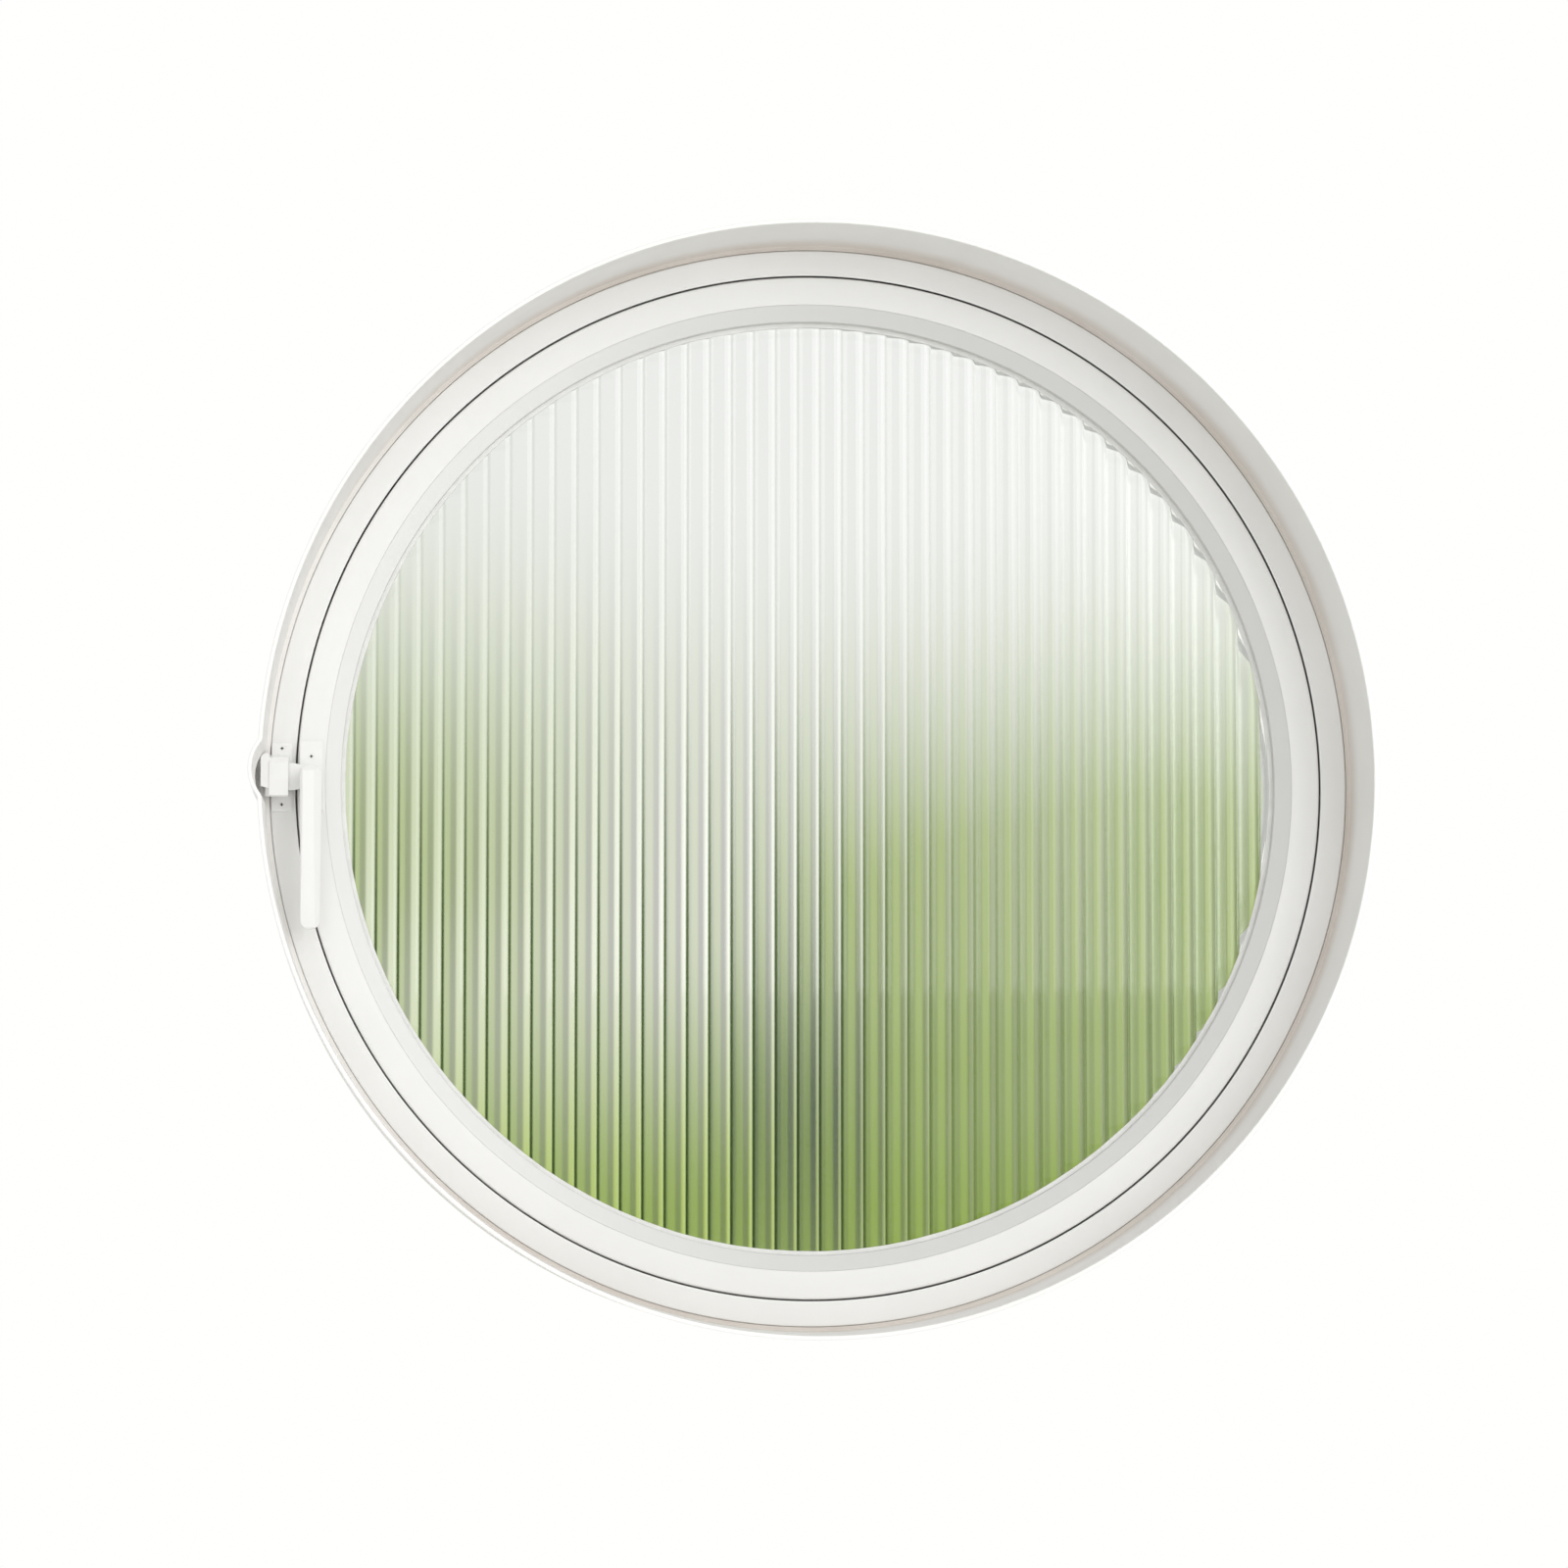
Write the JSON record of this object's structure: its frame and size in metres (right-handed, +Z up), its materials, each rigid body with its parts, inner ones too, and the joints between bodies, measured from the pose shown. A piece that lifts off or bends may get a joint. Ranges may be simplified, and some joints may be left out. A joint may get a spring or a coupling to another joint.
{
  "type": "round side-hung basement window with frame",
  "caption": "Round white window with a reveal lining, a side-hung sash with reeded double glazing, and a lever latch at its left edge.",
  "frame": {"origin": "on the window's axis, halfway through the depth of the frame", "axes": "+X right and +Z up as seen from the room, +Y outwards through the wall"},
  "size_m": [0.8219, 0.2129, 0.816],
  "materials": {
    "white_frame": "satin white",
    "lining": "matt warm white",
    "bead": "satin white",
    "dark_seal": "matt",
    "pale_gasket": "matt",
    "pad": "matt",
    "reeded_glass": "clear, reeded",
    "clear_glass": "clear, plain",
    "spacer": "white warm-edge bar",
    "white_metal": "white powder coat",
    "zinc": "zinc plated",
    "screw_steel": "bright",
    "hinge_steel": "satin"
  },
  "bodies": {
    "frame": {"outer_frame": "white_frame", "reveal_lining": "lining", "frame_seal": "dark_seal", "fixing_straps": "zinc", "strap_screws": "zinc", "keeper": "white_metal", "keeper_pad": "pad", "keeper_screws": "white_metal", "upper_hinge_frame_leaf": "hinge_steel", "lower_hinge_frame_leaf": "hinge_steel", "frame_leaf_screws": "screw_steel", "upper_hinge_pin": "hinge_steel", "lower_hinge_pin": "hinge_steel"},
    "sash": {"sash_ring": "white_frame", "glazing_bead": "bead", "inner_gasket": "pale_gasket", "reeded_pane": "reeded_glass", "spacer_bar": "spacer", "edge_seal": "dark_seal", "outer_pane": "clear_glass", "outer_gasket": "pale_gasket", "setting_blocks": "pad", "handle_base": "white_metal", "handle_base_screws": "white_metal", "upper_hinge_sash_leaf": "hinge_steel", "lower_hinge_sash_leaf": "hinge_steel", "sash_leaf_screws": "screw_steel"},
    "handle": {"lever": "white_metal", "spindle_washer": "screw_steel"}
  },
  "joints": [
    {"name": "sash_swing", "type": "hinge", "parent": "frame", "child": "sash", "pos_m": [0.388, 0.0398, 0], "axis": [0, 0, -1], "range_deg": [0, 85]},
    {"name": "handle_turn", "type": "hinge", "parent": "sash", "child": "handle", "pos_m": [-0.3695, -0.04, 0.0036], "axis": [0, -1, 0], "range_deg": [0, 90]}
  ]
}
